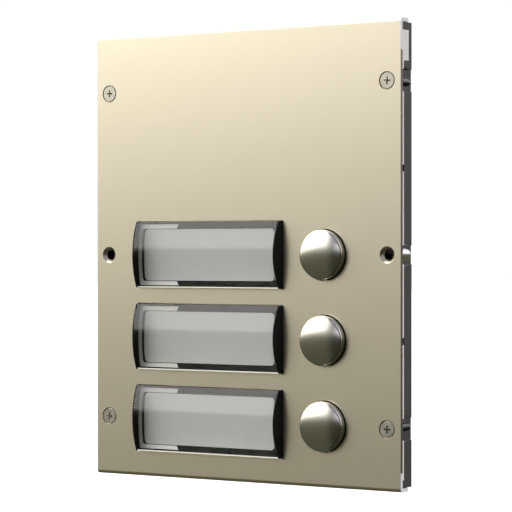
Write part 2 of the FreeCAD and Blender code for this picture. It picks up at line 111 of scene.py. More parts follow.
right = Vector((math.cos(view_azimuth), math.sin(view_azimuth), 0))
forward = Vector((-math.sin(view_azimuth), math.cos(view_azimuth), 0))
camera_data = bpy.data.cameras.new("studio_camera")
camera_data.sensor_width = 36.0
camera_data.lens = focal_length
camera_data.shift_y = lens_drop
camera_data.clip_start = 0.01
camera = bpy.data.objects.new("studio_camera", camera_data)
bpy.context.scene.collection.objects.link(camera)
camera.location = Vector((0, face_y, 0)) + right * camera_slide - forward * camera_distance
camera.rotation_euler = (math.pi / 2, 0, view_azimuth)
bpy.context.scene.camera = camera
bpy.context.scene.view_settings.view_transform = "Standard"
print("camera at", [round(v, 3) for v in camera.location])

# %% [markdown]
# ## Studio light
# Satin metal shows the room more than itself. The room here has one large soft light at the
# front left, whose lower edge stands a few degrees above the horizon and drops towards the left,
# a cool dome overhead with a dark gap in front, a small low window in that gap, a weaker light
# at the right, and a dark lower half. The plate reflects a wide blur of the softbox edge, which
# makes its long fade from top to bottom. The polished parts show the edge sharply.
# The camera sees plain white, and the metal sees the room.

# %% Build the room as a world shader


def link(tree, source, target):
    tree.links.new(source, target)


def add(tree, kind, **values):
    """Adds a node and sets its properties."""
    node = tree.nodes.new(kind)
    for key, value in values.items():
        setattr(node, key, value)
    return node


def math_node(tree, operation, *values):
    """Math node. Each value is a socket to link or a plain number."""
    node = add(tree, "ShaderNodeMath", operation=operation)
    for slot, value in zip(node.inputs, values):
        if isinstance(value, (int, float)):
            slot.default_value = value
        else:
            link(tree, value, slot)
    return node.outputs[0]


def map_range(tree, source, from_low, from_high, to_low, to_high, kind="LINEAR"):
    """Maps one range of numbers onto another."""
    node = add(tree, "ShaderNodeMapRange", interpolation_type=kind)
    for label, value in (("From Min", from_low), ("From Max", from_high),
                         ("To Min", to_low), ("To Max", to_high)):
        node.inputs[label].default_value = value
    link(tree, source, node.inputs["Value"])
    return node.outputs["Result"]


def ramp_node(tree, source, stops):
    """Colour ramp. Each stop is a place between 0 and 1 and a colour."""
    ramp = add(tree, "ShaderNodeValToRGB")
    points = ramp.color_ramp.elements
    while len(points) < len(stops):
        points.new(0.5)
    for point, (place, colour) in zip(points, stops):
        point.position = place
        point.color = (*colour, 1.0)
    link(tree, source, ramp.inputs["Fac"])
    return ramp.outputs["Color"]


def smooth_step(tree, source, low, high):
    """0 below low, 1 above high, and a soft edge between them."""
    return map_range(tree, source, low, high, 0.0, 1.0, "SMOOTHSTEP")


def product(tree, *sources):
    result = sources[0]
    for source in sources[1:]:
        result = math_node(tree, "MULTIPLY", result, source)
    return result


def glow(tree, mask, colour, strength):
    """Light that shines only where the mask is 1."""
    node = add(tree, "ShaderNodeBackground")
    node.inputs["Color"].default_value = (*colour, 1.0)
    link(tree, math_node(tree, "MULTIPLY", mask, strength), node.inputs["Strength"])
    return node.outputs[0]


def joined(tree, first, second):
    node = add(tree, "ShaderNodeAddShader")
    link(tree, first, node.inputs[0])
    link(tree, second, node.inputs[1])
    return node.outputs[0]


dome_stops = [
    (0.000, (0.095, 0.093, 0.060)),
    (0.325, (0.100, 0.099, 0.062)),
    (0.465, (0.130, 0.128, 0.085)),
    (0.500, (0.155, 0.152, 0.110)),
    (0.518, (0.200, 0.194, 0.155)),
    (0.552, (0.500, 0.487, 0.425)),
    (0.595, (0.900, 0.895, 0.900)),
    (0.750, (0.960, 0.965, 1.080)),
    (1.000, (1.000, 1.010, 1.200)),
]
softbox_colour = (1.0, 0.960, 0.850)
softbox_strength = 2.5
side_light_colour = (1.0, 0.980, 0.950)
side_light_strength = 2.3
window_colour = (0.90, 0.93, 1.0)
window_strength = 0.85
gap_strength = 0.32


def build_world():
    world = bpy.data.worlds.new("studio_room")
    bpy.context.scene.world = world
    world.use_nodes = True
    tree = world.node_tree
    tree.nodes.clear()
    place = add(tree, "ShaderNodeTexCoord")
    split = add(tree, "ShaderNodeSeparateXYZ")
    link(tree, place.outputs["Generated"], split.inputs[0])
    height = split.outputs["Z"]
    front = math_node(tree, "MULTIPLY", split.outputs["Y"], -1.0)
    angle = math_node(tree, "ARCTAN2", split.outputs["X"], front)

    dome = add(tree, "ShaderNodeBackground")
    half_height = map_range(tree, height, -1.0, 1.0, 0.0, 1.0)
    link(tree, ramp_node(tree, half_height, dome_stops), dome.inputs["Color"])

    degree = math.pi / 180
    gap = product(
        tree,
        smooth_step(tree, angle, -24 * degree, -10 * degree),
        smooth_step(tree, angle, 95 * degree, 60 * degree),
    )
    link(tree, map_range(tree, gap, 0.0, 1.0, 1.0, gap_strength), dome.inputs["Strength"])
    window = product(
        tree,
        smooth_step(tree, angle, -14 * degree, -6 * degree),
        smooth_step(tree, angle, 16 * degree, 6 * degree),
        smooth_step(tree, height, math.sin(4 * degree), math.sin(7 * degree)),
        smooth_step(tree, height, math.sin(16 * degree), math.sin(12 * degree)),
    )
    drop = map_range(tree, angle, -30 * degree, -66 * degree, 0.0, math.sin(8 * degree))
    raised = math_node(tree, "ADD", height, drop)
    softbox = product(
        tree,
        smooth_step(tree, raised, math.sin(6.0 * degree), math.sin(12.8 * degree)),
        smooth_step(tree, height, math.sin(84 * degree), math.sin(60 * degree)),
        smooth_step(tree, angle, -14 * degree, -34 * degree),
        smooth_step(tree, angle, -135 * degree, -100 * degree),
    )
    side_light = product(
        tree,
        smooth_step(tree, height, math.sin(14 * degree), math.sin(32 * degree)),
        smooth_step(tree, angle, 72 * degree, 105 * degree),
        smooth_step(tree, angle, 179 * degree, 150 * degree),
    )
    room = joined(tree, dome.outputs[0], glow(tree, softbox, softbox_colour, softbox_strength))
    room = joined(tree, room, glow(tree, side_light, side_light_colour, side_light_strength))
    room = joined(tree, room, glow(tree, window, window_colour, window_strength))

    white = add(tree, "ShaderNodeBackground")
    rays = add(tree, "ShaderNodeLightPath")
    white.inputs["Color"].default_value = (1, 1, 1, 1)
    pick = add(tree, "ShaderNodeMixShader")
    link(tree, rays.outputs["Is Camera Ray"], pick.inputs["Fac"])
    link(tree, room, pick.inputs[1])
    link(tree, white.outputs[0], pick.inputs[2])
    out = add(tree, "ShaderNodeOutputWorld")
    link(tree, pick.outputs[0], out.inputs["Surface"])


build_world()
print("room built")

# %% [markdown]
# ## Materials
# Each finish is a short function. Patterns that several finishes share are node groups that
# put out a height for a bump and a tone between 0 and 1, and each finish sets its own scale.

# %% Shared pattern groups


def new_group(name, inputs, outputs):
    """Shader node group with float or vector inputs and float outputs."""
    tree = bpy.data.node_groups.new(name, "ShaderNodeTree")
    for label, kind, value in inputs:
        socket = tree.interface.new_socket(label, in_out="INPUT", socket_type=kind)
        socket.default_value = value
    for label in outputs:
        tree.interface.new_socket(label, in_out="OUTPUT", socket_type="NodeSocketFloat")
    return tree, add(tree, "NodeGroupInput"), add(tree, "NodeGroupOutput")


def stretched_noise(tree, vector, scale, detail=3.0):
    noise = add(tree, "ShaderNodeTexNoise")
    noise.inputs["Detail"].default_value = detail
    link(tree, vector, noise.inputs["Vector"])
    if isinstance(scale, float):
        noise.inputs["Scale"].default_value = scale
    else:
        link(tree, scale, noise.inputs["Scale"])
    return noise.outputs["Fac"]


def build_brushed_group():
    """Fine lines along one direction: noise stretched by the Stretch vector."""
    tree, given, out = new_group("brushed_lines", [
        ("Stretch", "NodeSocketVector", (1.0, 1.0, 1.0)),
        ("Scale", "NodeSocketFloat", 900.0),
        ("Blotch Scale", "NodeSocketFloat", 25.0),
    ], ["Height", "Tone"])
    place = add(tree, "ShaderNodeTexCoord")
    stretch = add(tree, "ShaderNodeVectorMath", operation="MULTIPLY")
    link(tree, place.outputs["Object"], stretch.inputs[0])
    link(tree, given.outputs["Stretch"], stretch.inputs[1])
    lines = stretched_noise(tree, stretch.outputs[0], given.outputs["Scale"])
    blotch = stretched_noise(tree, place.outputs["Object"], given.outputs["Blotch Scale"], 2.0)
    share = math_node(tree, "MULTIPLY", blotch, 0.35)
    both = math_node(tree, "MULTIPLY_ADD", lines, 0.65, share)
    link(tree, lines, out.inputs["Height"])
    link(tree, both, out.inputs["Tone"])
    return tree


def build_grain_group():
    """Even fine grain of a moulded or bead-blasted skin, with slow unevenness."""
    tree, given, out = new_group("fine_grain", [
        ("Grain Scale", "NodeSocketFloat", 3000.0),
        ("Blotch Scale", "NodeSocketFloat", 40.0),
    ], ["Height", "Tone"])
    place = add(tree, "ShaderNodeTexCoord")
    grain = stretched_noise(tree, place.outputs["Object"], given.outputs["Grain Scale"], 2.0)
    blotch = stretched_noise(tree, place.outputs["Object"], given.outputs["Blotch Scale"], 4.0)
    link(tree, grain, out.inputs["Height"])
    link(tree, blotch, out.inputs["Tone"])
    return tree


def object_place(tree):
    """X, Y and Z of the point in the panel's own frame."""
    place = add(tree, "ShaderNodeTexCoord")
    split = add(tree, "ShaderNodeSeparateXYZ")
    link(tree, place.outputs["Object"], split.inputs[0])
    return split.outputs


def build_turned_group():
    """Fine rings round each button's axis, as a lathe leaves them. Rows repeat along Z."""
    tree, given, out = new_group("turned_rings", [
        ("Axis X", "NodeSocketFloat", 0.0),
        ("Row Pitch", "NodeSocketFloat", 0.02),
        ("Ring Scale", "NodeSocketFloat", 4000.0),
    ], ["Height", "Tone"])
    here = object_place(tree)
    across = math_node(tree, "SUBTRACT", here["X"], given.outputs["Axis X"])
    half = math_node(tree, "MULTIPLY", given.outputs["Row Pitch"], 0.5)
    minus = math_node(tree, "MULTIPLY", given.outputs["Row Pitch"], -0.5)
    up = math_node(tree, "WRAP", here["Z"], half, minus)
    flat = add(tree, "ShaderNodeCombineXYZ")
    link(tree, across, flat.inputs["X"])
    link(tree, up, flat.inputs["Y"])
    radius = add(tree, "ShaderNodeVectorMath", operation="LENGTH")
    link(tree, flat.outputs[0], radius.inputs[0])
    line = add(tree, "ShaderNodeCombineXYZ")
    link(tree, radius.outputs["Value"], line.inputs["X"])
    rings = stretched_noise(tree, line.outputs[0], given.outputs["Ring Scale"], 2.0)
    link(tree, rings, out.inputs["Height"])
    link(tree, rings, out.inputs["Tone"])
    return tree


brushed_lines = build_brushed_group()
fine_grain = build_grain_group()
turned_rings = build_turned_group()
print("pattern groups:", [g.name for g in (brushed_lines, fine_grain, turned_rings)])

# %% Material helpers


def new_material(name, colour, roughness, metallic=0.0, **sockets):
    """Principled material. Constant values go straight onto the shader's sockets."""
    material = bpy.data.materials.new(name)
    material.use_nodes = True
    shader = material.node_tree.nodes["Principled BSDF"]
    shader.inputs["Base Color"].default_value = (*colour, 1.0)
    shader.inputs["Roughness"].default_value = roughness
    shader.inputs["Metallic"].default_value = metallic
    for label, value in sockets.items():
        shader.inputs[label.replace("_", " ")].default_value = value
    return material, shader


def use_group(material, group, **values):
    node = add(material.node_tree, "ShaderNodeGroup", node_tree=group)
    for label, value in values.items():
        node.inputs[label.replace("_", " ")].default_value = value
    return node


def vary(material, shader, source, socket, low, high):
    """Drives a number socket from a 0 to 1 pattern."""
    tree = material.node_tree
    link(tree, map_range(tree, source, 0.3, 0.7, low, high), shader.inputs[socket])


def tint(material, shader, source, dark, light):
    """Drives the base colour between two colours from a 0 to 1 pattern."""
    tree = material.node_tree
    link(tree, ramp_node(tree, source, [(0.3, dark), (0.7, light)]), shader.inputs["Base Color"])


def bump(material, shader, source, distance, strength=1.0):
    node = add(material.node_tree, "ShaderNodeBump")
    node.inputs["Strength"].default_value = strength
    node.inputs["Distance"].default_value = distance
    link(material.node_tree, source, node.inputs["Height"])
    link(material.node_tree, node.outputs["Normal"], shader.inputs["Normal"])


def shade(colour, factor):
    return tuple(min(1.0, c * factor) for c in colour)


# %% Metal finishes


def above(tree, source, limit, soft):
    """1 where the value is over the limit, with a soft edge."""
    return smooth_step(tree, source, limit - soft, limit + soft)


def mixed_colour(tree, mask, first, second):
    """The first colour, a socket, turned to the second, plain numbers, where the mask is 1."""
    node = add(tree, "ShaderNodeMix", data_type="RGBA")
    link(tree, mask, node.inputs["Factor"])
    link(tree, first, node.inputs["A"])
    node.inputs["B"].default_value = (*second, 1.0)
    return node.outputs["Result"]


def distance_from(tree, x0, z0):
    """Distance in the plate's plane from the axes at +-x0, +-z0."""
    here = object_place(tree)
    flat = add(tree, "ShaderNodeCombineXYZ")
    for label, centre, target in (("X", x0, "X"), ("Z", z0, "Y")):
        side = math_node(tree, "ABSOLUTE", here[label])
        link(tree, math_node(tree, "SUBTRACT", side, centre), flat.inputs[target])
    radius = add(tree, "ShaderNodeVectorMath", operation="LENGTH")
    link(tree, flat.outputs[0], radius.inputs[0])
    return radius.outputs["Value"]


def satin_stainless():
    """Fine satin finish on the face. Near the folded corners the side edges are matt and painted pale, a painted
    highlight.
    The top fold is painted a little paler than the face, a painted reflection, and the rest of the side edges is
    painted dark, as painted shade. A dark ring round each corner screw is painted shadow at its seat.
    """
    colour = (0.80, 0.742, 0.612)
    material, shader = new_material("satin_stainless", colour, 0.32, 1.0)
    tree = material.node_tree
    lines = use_group(material, brushed_lines, Stretch=(0.06, 1.0, 1.0), Scale=22000.0,
                      Blotch_Scale=60.0)
    bump(material, shader, lines.outputs["Height"], 0.0004 * mm, 0.3)

    here = object_place(tree)
    out = math_node(tree, "ABSOLUTE", here["X"])
    higher = math_node(tree, "ADD", here["Z"], (edge_highlight_down - edge_highlight_up) / 2)
    up = math_node(tree, "ABSOLUTE", higher)
    edge = product(
        tree,
        above(tree, out, plate_half_w - 0.04 * mm, 0.02 * mm),
        above(tree, up, (edge_highlight_down + edge_highlight_up) / 2, 0.3 * mm),
    )
    link(tree, map_range(tree, edge, 0.0, 1.0, 0.32, 0.95), shader.inputs["Roughness"])

    fold = above(tree, here["Z"], plate_half_h - 0.25 * mm, 0.2 * mm)
    steel = ramp_node(tree, lines.outputs["Tone"],
                      [(0.3, shade(colour, 0.985)), (0.7, shade(colour, 1.015))])
    sides = above(tree, out, plate_half_w - 0.04 * mm, 0.02 * mm)
    # painted shade: the side edges of the plate are painted dark
    side_shade_colour = mixed_colour(tree, sides, steel, (0.30, 0.29, 0.25))
    # painted reflection: the top fold is painted pale and lilac
    folded = mixed_colour(tree, fold, side_shade_colour, (0.76, 0.745, 0.79))
    # painted highlight: the side edges near the folded corners are painted pale
    corner_highlight_colour = mixed_colour(tree, edge, folded, (0.93, 0.93, 0.95))
    # painted shadow: a dark ring round the seat of each corner screw
    from_screws = distance_from(tree, corner_x, corner_z)
    seat = smooth_step(tree, from_screws, 2.46 * mm, 2.40 * mm)
    link(tree, mixed_colour(tree, seat, corner_highlight_colour, (0.33, 0.29, 0.22)), shader.inputs["Base Color"])
    return material


def satin_nickel():
    colour = (0.66, 0.65, 0.60)
    material, shader = new_material("satin_nickel", colour, 0.16, 1.0)
    rings = use_group(material, turned_rings, Axis_X=button_x, Row_Pitch=row_pitch)
    tint(material, shader, rings.outputs["Tone"], shade(colour, 0.96), shade(colour, 1.03))
    vary(material, shader, rings.outputs["Tone"], "Roughness", 0.13, 0.19)
    bump(material, shader, rings.outputs["Height"], 0.0005 * mm, 0.3)
    return material


def bright_nickel():
    """Polished plating outside the bushes. Their bores are painted near-black: painted shade inside the holes."""
    colour = (0.80, 0.80, 0.82)
    material, shader = new_material("bright_nickel", colour, 0.08, 1.0)
    tree = material.node_tree
    grain = use_group(material, fine_grain, Grain_Scale=2500.0, Blotch_Scale=300.0)
    vary(material, shader, grain.outputs["Tone"], "Roughness", 0.06, 0.12)
    # painted shade: near-black inside the bores
    outside = above(tree, distance_from(tree, fixing_x, 0.0), 1.5 * mm, 0.1 * mm)
    tint(material, shader, outside, (0.05, 0.048, 0.044), colour)
    return material


def screw_steel():
    """Plated heads. The threads just behind the plate are painted near-black: painted shade inside the housing."""
    colour = (0.62, 0.595, 0.53)
    material, shader = new_material("screw_steel", colour, 0.32, 1.0)
    grain = use_group(material, fine_grain, Grain_Scale=6000.0, Blotch_Scale=700.0)
    tint(material, shader, grain.outputs["Tone"], shade(colour, 0.93), shade(colour, 1.03))
    vary(material, shader, grain.outputs["Tone"], "Roughness", 0.28, 0.36)
    bump(material, shader, grain.outputs["Height"], 0.001 * mm, 0.3)
    tree = material.node_tree
    # painted shade: the threads inside the housing are painted near-black
    depth = object_place(tree)["Y"]
    inside = product(
        tree,
        above(tree, depth, 1.5 * mm, 0.3 * mm),
        smooth_step(tree, depth, 14 * mm, 12 * mm),
    )
    head = shader.inputs["Base Color"].links[0].from_socket
    link(tree, mixed_colour(tree, inside, head, (0.10, 0.10, 0.10)), shader.inputs["Base Color"])
    return material


def spring_steel():
    colour = (0.42, 0.42, 0.43)
    material, shader = new_material("spring_steel", colour, 0.28, 1.0)
    lines = use_group(material, fine_grain, Grain_Scale=9000.0, Blotch_Scale=900.0)
    tint(material, shader, lines.outputs["Tone"], shade(colour, 0.8), shade(colour, 1.1))
    bump(material, shader, lines.outputs["Height"], 0.002 * mm, 0.4)
    return material


def gilt_brass():
    colour = (0.78, 0.60, 0.28)
    material, shader = new_material("gilt_brass", colour, 0.22, 1.0)
    grain = use_group(material, fine_grain, Grain_Scale=8000.0, Blotch_Scale=600.0)
    tint(material, shader, grain.outputs["Tone"], shade(colour, 0.88), shade(colour, 1.05))
    return material


# %% Plastics, card, rubber and board


def moulded(name, colour, roughness, grain_scale=2600.0, depth=0.010, spread=0.08, **sockets):
    """Moulded plastic: fine spark-eroded grain and a slow change in gloss and tone.

    Returns the material and its shader, for finishes that add to it.
    """
    material, shader = new_material(name, colour, roughness, **sockets)
    grain = use_group(material, fine_grain, Grain_Scale=grain_scale, Blotch_Scale=60.0)
    tint(material, shader, grain.outputs["Tone"], shade(colour, 1 - spread), shade(colour, 1 + spread))
    vary(material, shader, grain.outputs["Tone"], "Roughness", roughness - 0.05, roughness + 0.05)
    bump(material, shader, grain.outputs["Height"], depth * mm, 0.5)
    return material, shader


def clear_cover():
    """Solid clear plastic. Metallic and Transmission Weight stay plain numbers.

    A ray that leaves the block only bends, so the block shows one clean reflection, on its front.
    Light on its way to the card passes straight through, which keeps the card evenly lit.
    """
    material, shader = new_material("clear_cover", (0.97, 0.98, 0.98), 0.02, 0.0,
                                    Transmission_Weight=1.0, IOR=1.49)
    tree = material.node_tree
    grain = use_group(material, fine_grain, Grain_Scale=500.0, Blotch_Scale=50.0)
    vary(material, shader, grain.outputs["Tone"], "Roughness", 0.008, 0.016)
    leaving = add(tree, "ShaderNodeBsdfRefraction")
    leaving.inputs["IOR"].default_value = 1.49
    leaving.inputs["Roughness"].default_value = 0.0
    side = add(tree, "ShaderNodeNewGeometry")
    body = add(tree, "ShaderNodeMixShader")
    link(tree, side.outputs["Backfacing"], body.inputs["Fac"])
    link(tree, shader.outputs[0], body.inputs[1])
    link(tree, leaving.outputs[0], body.inputs[2])
    rays = add(tree, "ShaderNodeLightPath")
    lamps = math_node(tree, "MAXIMUM", rays.outputs["Is Shadow Ray"],
                      rays.outputs["Is Diffuse Ray"])
    through = add(tree, "ShaderNodeBsdfTransparent")
    through.inputs["Color"].default_value = (0.92, 0.93, 0.93, 1.0)
    pick = add(tree, "ShaderNodeMixShader")
    link(tree, lamps, pick.inputs["Fac"])
    link(tree, body.outputs[0], pick.inputs[1])
    link(tree, through.outputs[0], pick.inputs[2])
    link(tree, pick.outputs[0], tree.nodes["Material Output"].inputs["Surface"])
    return material


def black_frame():
    """Window frame: satin black outside the plate, and dead black behind the clear cover."""
    material, shader = moulded("black_gloss", (0.018, 0.018, 0.017), 0.45, depth=0.001,
                               Specular_IOR_Level=0.15)
    tree = material.node_tree
    grain = shader.inputs["Base Color"].links[0].from_socket
    inside = above(tree, object_place(tree)["Y"], face_y + 0.6 * mm, 0.2 * mm)
    link(tree, mixed_colour(tree, inside, grain, (0.002, 0.0035, 0.002)),
         shader.inputs["Base Color"])
    return material


def white_carrier():
    """White plastic. Where the sills stand out of the face they glow a little: painted light that brightens the
    thin sill line.
    """
    material, shader = moulded("white_plastic", (0.92, 0.905, 0.865), 0.42, spread=0.02)
    tree = material.node_tree
    # painted light: the sills glow where they stand out of the face
    shader.inputs["Emission Strength"].default_value = 1.0
    inside = above(tree, object_place(tree)["Y"], face_y + 0.15 * mm, 0.05 * mm)
    outside = ramp_node(tree, inside, [(0.0, (0.34, 0.325, 0.26)), (1.0, (0.0, 0.0, 0.0))])
    link(tree, outside, shader.inputs["Emission Color"])
    return material


def card_paper():
    colour = (0.76, 0.745, 0.73)
    material, shader = new_material("card_paper", colour, 0.75)
    grain = use_group(material, fine_grain, Grain_Scale=9000.0, Blotch_Scale=220.0)
    tint(material, shader, grain.outputs["Tone"], shade(colour, 0.985), shade(colour, 1.015))
    bump(material, shader, grain.outputs["Height"], 0.006 * mm, 0.4)
    return material


def board_green():
    """Solder mask with tracks: bands along X and Z show as a lighter green."""
    colour = (0.012, 0.10, 0.045)
    material, shader = new_material("board_green", colour, 0.32, Coat_Weight=0.4)
    tree = material.node_tree
    place = add(tree, "ShaderNodeTexCoord")
    cells = add(tree, "ShaderNodeTexVoronoi", distance="MANHATTAN", feature="F1")
    cells.inputs["Scale"].default_value = 260.0
    link(tree, place.outputs["Object"], cells.inputs["Vector"])
    tint(material, shader, cells.outputs["Distance"], (0.02, 0.16, 0.07), colour)
    bump(material, shader, cells.outputs["Distance"], 0.02 * mm, 0.5)
    return material


finishes = {
    "stainless_plate": satin_stainless(),
    "satin_nickel": satin_nickel(),
    "bright_nickel": bright_nickel(),
    "zinc_screw": screw_steel(),
    "spring_steel": spring_steel(),
    "pin_brass": gilt_brass(),
    "clear_lens": clear_cover(),
    "card_paper": card_paper(),
    "black_gloss": black_frame(),
    "white_plastic": white_carrier(),
    "diffuser_white": moulded("diffuser_white", (0.82, 0.82, 0.80), 0.35, spread=0.02)[0],
    "dark_grey_plastic": moulded("dark_grey_plastic", (0.058, 0.057, 0.055), 0.45)[0],
    "black_plastic": moulded("black_plastic", (0.022, 0.022, 0.022), 0.42)[0],
    "seal_rubber": moulded("seal_rubber", (0.018, 0.018, 0.018), 0.75, grain_scale=1500.0)[0],
    "board_green": board_green(),
    "led_body": moulded("led_body", (0.80, 0.76, 0.45), 0.25, depth=0.002)[0],
    "terminal_green": moulded("terminal_green", (0.03, 0.20, 0.085), 0.40)[0],
}

slot_of = {part["node"]: part["material_slot"] for part in frame["record"]["subparts"]}
for node, slot in slot_of.items():
    nodes[node].data.materials.clear()
    nodes[node].data.materials.append(finishes[slot])
print("finishes:", len(finishes))

# %% [markdown]
# ## Mesh helpers
# Every detailed piece is built where it stands, in metres, so that its object stays at the
# origin like a CAD node. The helpers below turn a filled bmesh into an object, round a piece
# about an axis, and soften the sharp edges of a moulded or punched part.

# %% Turn a bmesh into a piece


def piece_from(name, shape, material, smooth_angle=35.0):
    """Object from a bmesh, outward faces, smooth but for edges sharper than the angle."""
    bmesh.ops.recalc_face_normals(shape, faces=shape.faces)
    mesh = bpy.data.meshes.new(name)
    shape.to_mesh(mesh)
    shape.free()
    mesh.materials.append(material)
    mesh.shade_smooth()
    mesh.set_sharp_from_angle(angle=math.radians(smooth_angle))
    piece = bpy.data.objects.new(name, mesh)
    bpy.context.scene.collection.objects.link(piece)
    return piece


def baked(piece):
    """Turns the evaluated object, with its modifiers, into a plain mesh on the same object."""
    graph = bpy.context.evaluated_depsgraph_get()
    mesh = bpy.data.meshes.new_from_object(piece.evaluated_get(graph))
    piece.modifiers.clear()
    piece.data = mesh
    return piece


# %% Lathe


def lathe(shape, profile, x, z, segments=96):
    """Turns (radius, y) points about the Y axis through x, z. Radius 0 closes a pole."""
    rings = []
    for radius, y in profile:
        if radius < 1e-9:
            rings.append([shape.verts.new((x, y, z))])
            continue
        ring = []
        for i in range(segments):
            a = 2 * math.pi * i / segments
            ring.append(shape.verts.new((x + radius * math.cos(a), y, z + radius * math.sin(a))))
        rings.append(ring)
    for first, second in zip(rings, rings[1:]):
        for i in range(segments):
            j = (i + 1) % segments
            if len(first) == 1:
                shape.faces.new((first[0], second[i], second[j]))
            elif len(second) == 1:
                shape.faces.new((first[i], first[j], second[0]))
            else:
                shape.faces.new((first[i], first[j], second[j], second[i]))


def arc(centre, radius, start, end, steps):
    """Points on an arc, angles in degrees, first coordinate radius and second y."""
    points = []
    for i in range(steps + 1):
        a = math.radians(start + (end - start) * i / steps)
        points.append((centre[0] + radius * math.cos(a), centre[1] + radius * math.sin(a)))
    return points


# %% Soften a CAD node's edges


def rounded(piece, width, segments=2, angle=38.0):
    """Rounds the sharp edges. Large flats keep their own normals, so they stay evenly lit."""
    piece.data.shade_smooth()
    rounding = piece.modifiers.new("soft_edges", "BEVEL")
    rounding.width = width
    rounding.segments = segments
    rounding.limit_method = "ANGLE"
    rounding.angle_limit = math.radians(angle)
    rounding.harden_normals = False
    flats = piece.modifiers.new("even_flats", "WEIGHTED_NORMAL")
    flats.mode = "FACE_AREA"
    flats.weight = 100
    flats.keep_sharp = False
    return baked(piece)


def merged_copy(node, name):
    """Copy of a CAD node with its doubles merged and its flats joined."""
    shape = bmesh.new()
    shape.from_mesh(nodes[node].data)
    bmesh.ops.remove_doubles(shape, verts=shape.verts, dist=0.002 * mm)
    bmesh.ops.dissolve_limit(shape, angle_limit=math.radians(0.6), verts=shape.verts,
                             edges=shape.edges, delimit={"NORMAL"})
    return piece_from(name, shape, nodes[node].data.materials[0], 180.0)


def stands_for(piece, body, node):
    """The piece moves with the body and takes the CAD node's place, which is hidden."""
    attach(piece, body)
    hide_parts(node)
    return piece


def softened(node, width):
    """Copy of a CAD node with its sharp edges rounded."""
    piece = merged_copy(node, node + "_finished")
    rounded(piece, width)
    return stands_for(piece, "panel", node)


soft_widths = {
    "front_plate": 0.08 * mm,
    "window_frame_1": 0.06 * mm,
    "window_frame_2": 0.06 * mm,
    "window_frame_3": 0.06 * mm,
    "rear_cover": 0.30 * mm,
    "rear_box": 0.25 * mm,
    "housing_frame": 0.15 * mm,
    "carrier_plate": 0.06 * mm,
    "terminal_block": 0.20 * mm,
    "link_header": 0.15 * mm,
}
for node, width in soft_widths.items():
    piece = softened(node, width)
    print(piece.name, "faces", len(piece.data.polygons))

# %% [markdown]
# ## Bell buttons
# Each button is a turned nickel cap with a shallow dome. A lathe profile gives it the same dome
# and rim as the CAD cap, with a finer rim radius that carries the thin bright edge line.

# %% Turn the button caps


def button_cap(row):
    name = "button_cap_" + str(row)
    low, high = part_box(name)
    axis = middle(name)
    outer = size_of(name).x / 2
    lip_h = 0.8 * mm
    cap_r = outer - 0.9 * mm
    dome_r = 25.0 * mm
    rim = 0.8 * mm
    wall = 1.1 * mm
    floor = 2.45 * mm
    top = low.y
    centre_y = top + dome_r
    rim_r = cap_r - rim
    rim_y = centre_y - math.sqrt((dome_r - rim) ** 2 - rim_r ** 2)
    tilt = math.degrees(math.asin(rim_r / (dome_r - rim)))
    profile = [(0.0, top)]
    steps = 18
    for i in range(1, steps + 1):
        a = math.radians(tilt * i / steps)
        profile.append((dome_r * math.sin(a), centre_y - dome_r * math.cos(a)))
    profile += arc((rim_r, rim_y), rim, tilt - 90, 0, 8)[1:]
    lip_y = high.y - lip_h
    edge = 0.12 * mm
    profile += [(cap_r, lip_y - edge), (cap_r + edge, lip_y), (outer - edge, lip_y),
                (outer, lip_y + edge), (outer, high.y - edge), (outer - edge, high.y),
                (cap_r - wall, high.y), (cap_r - wall, top + floor), (0.0, top + floor)]
    shape = bmesh.new()
    lathe(shape, profile, axis.x, axis.z)
    piece = piece_from("button_face_" + str(row), shape, finishes["satin_nickel"])
    return stands_for(piece, "button_" + str(row), name)


for row in rows:
    piece = button_cap(row)
    print(piece.name, "faces", len(piece.data.polygons))

# %% [markdown]
# ## Lenses
# The lens is one solid bar of clear plastic with an arched front. It is a merged copy of the CAD lens, and its
# edges are rounded slightly, because a polished edge shows as a thin line of light.

# %% Draw the lenses


def window_lens(row):
    name = "window_lens_" + str(row)
    piece = merged_copy(name, "lens_" + str(row))
    rounded(piece, 0.15 * mm, 3, 35.0)
    return stands_for(piece, "panel", name)


for row in rows:
    piece = window_lens(row)
    print(piece.name, "faces", len(piece.data.polygons))

# %% [markdown]
# ## Screws
# The panel is held by countersunk tapping screws with a cross recess. One screw is drawn at the
# origin, its head at y = 0 and its shank along +Y, and a node tree sets a copy at each place.

# %% Draw one countersunk screw


def cross_recess(shape_object, size, width, depth):
    """Cuts a tapered cross into the head: a four-armed star that narrows with depth."""
    shape = bmesh.new()
    outline = []
    inner = width * 0.62
    for k in range(4):
        turn = math.pi / 2 * k
        for r, offset in ((inner, -math.pi / 4), (size, -0.5 * width / size),
                          (size, 0.5 * width / size)):
            outline.append((r * math.cos(turn + offset), r * math.sin(turn + offset)))
    levels = [(-0.3 * mm, 1.15), (depth, 0.45)]
    rings = []
    for y, share in levels:
        rings.append([shape.verts.new((px * share, y, pz * share)) for px, pz in outline])
    shape.faces.new(rings[0])
    shape.faces.new(list(reversed(rings[1])))
    count = len(outline)
    for i in range(count):
        j = (i + 1) % count
        shape.faces.new((rings[0][i], rings[1][i], rings[1][j], rings[0][j]))
    cutter = piece_from("recess_cutter", shape, finishes["zinc_screw"])
    cut = shape_object.modifiers.new("recess", "BOOLEAN")
    cut.operation = "DIFFERENCE"
    cut.solver = "EXACT"
    cut.object = cutter
    baked(shape_object)
    bpy.data.objects.remove(cutter)


